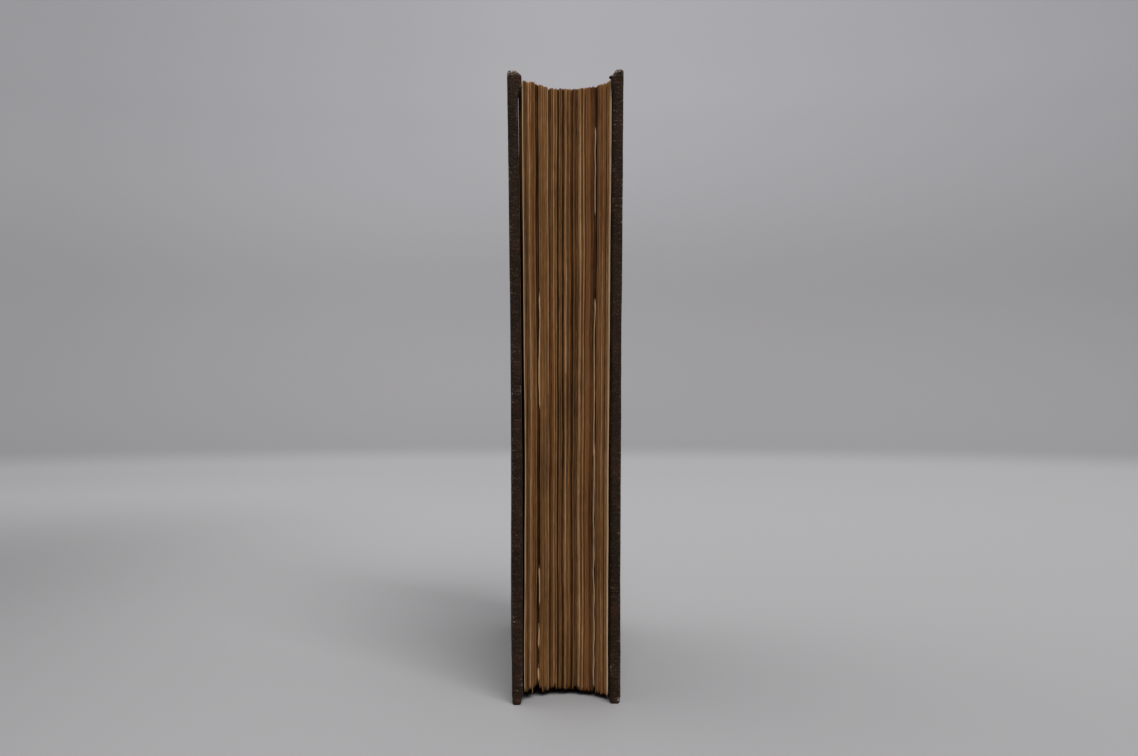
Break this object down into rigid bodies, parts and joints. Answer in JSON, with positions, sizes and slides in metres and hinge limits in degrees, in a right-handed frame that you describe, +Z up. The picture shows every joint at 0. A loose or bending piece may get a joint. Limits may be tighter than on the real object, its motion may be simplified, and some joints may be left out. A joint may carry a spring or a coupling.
{
  "type": "antique leather book",
  "caption": "Closed antique book in a full leather binding with raised bands, standing on its tail; both covers open on leather joints.",
  "frame": {"origin": "centre of the underside, level with the tail edges of the covers that the book stands on", "axes": "+Z up along the book's height, +Y from the fore-edge to the spine, +X through the thickness from the front cover to the back cover"},
  "size_m": [0.0427, 0.1632, 0.23],
  "materials": {
    "leaves": "browned, uneven leaf edges",
    "endpaper": "plain aged endpaper",
    "lining_paper": "plain lining paper",
    "sewing_cord": "hemp cord",
    "end_band": "worked thread over a core",
    "binding_leather": "dark brown grained leather, rubbed at the edges",
    "board": "dense pasteboard"
  },
  "bodies": {
    "block": {"text_block": "leaves", "front_flyleaf": "endpaper", "back_flyleaf": "endpaper", "panel_linings": "lining_paper", "sewing_cord_1": "sewing_cord", "sewing_cord_2": "sewing_cord", "sewing_cord_3": "sewing_cord", "sewing_cord_4": "sewing_cord", "sewing_cord_5": "sewing_cord", "head_band": "end_band", "tail_band": "end_band", "spine_leather": "binding_leather"},
    "front_cover": {"front_board": "board", "front_cord_slips": "sewing_cord", "front_leather": "binding_leather", "front_pastedown": "endpaper"},
    "back_cover": {"back_board": "board", "back_cord_slips": "sewing_cord", "back_leather": "binding_leather", "back_pastedown": "endpaper"}
  },
  "joints": [
    {"name": "front_hinge", "type": "hinge", "parent": "block", "child": "front_cover", "pos_m": [-0.01947, 0.06742, 0.115], "axis": [0, 0, -1], "range_deg": [0, 180]},
    {"name": "back_hinge", "type": "hinge", "parent": "block", "child": "back_cover", "pos_m": [0.01947, 0.06742, 0.115], "axis": [0, 0, 1], "range_deg": [0, 180]}
  ]
}
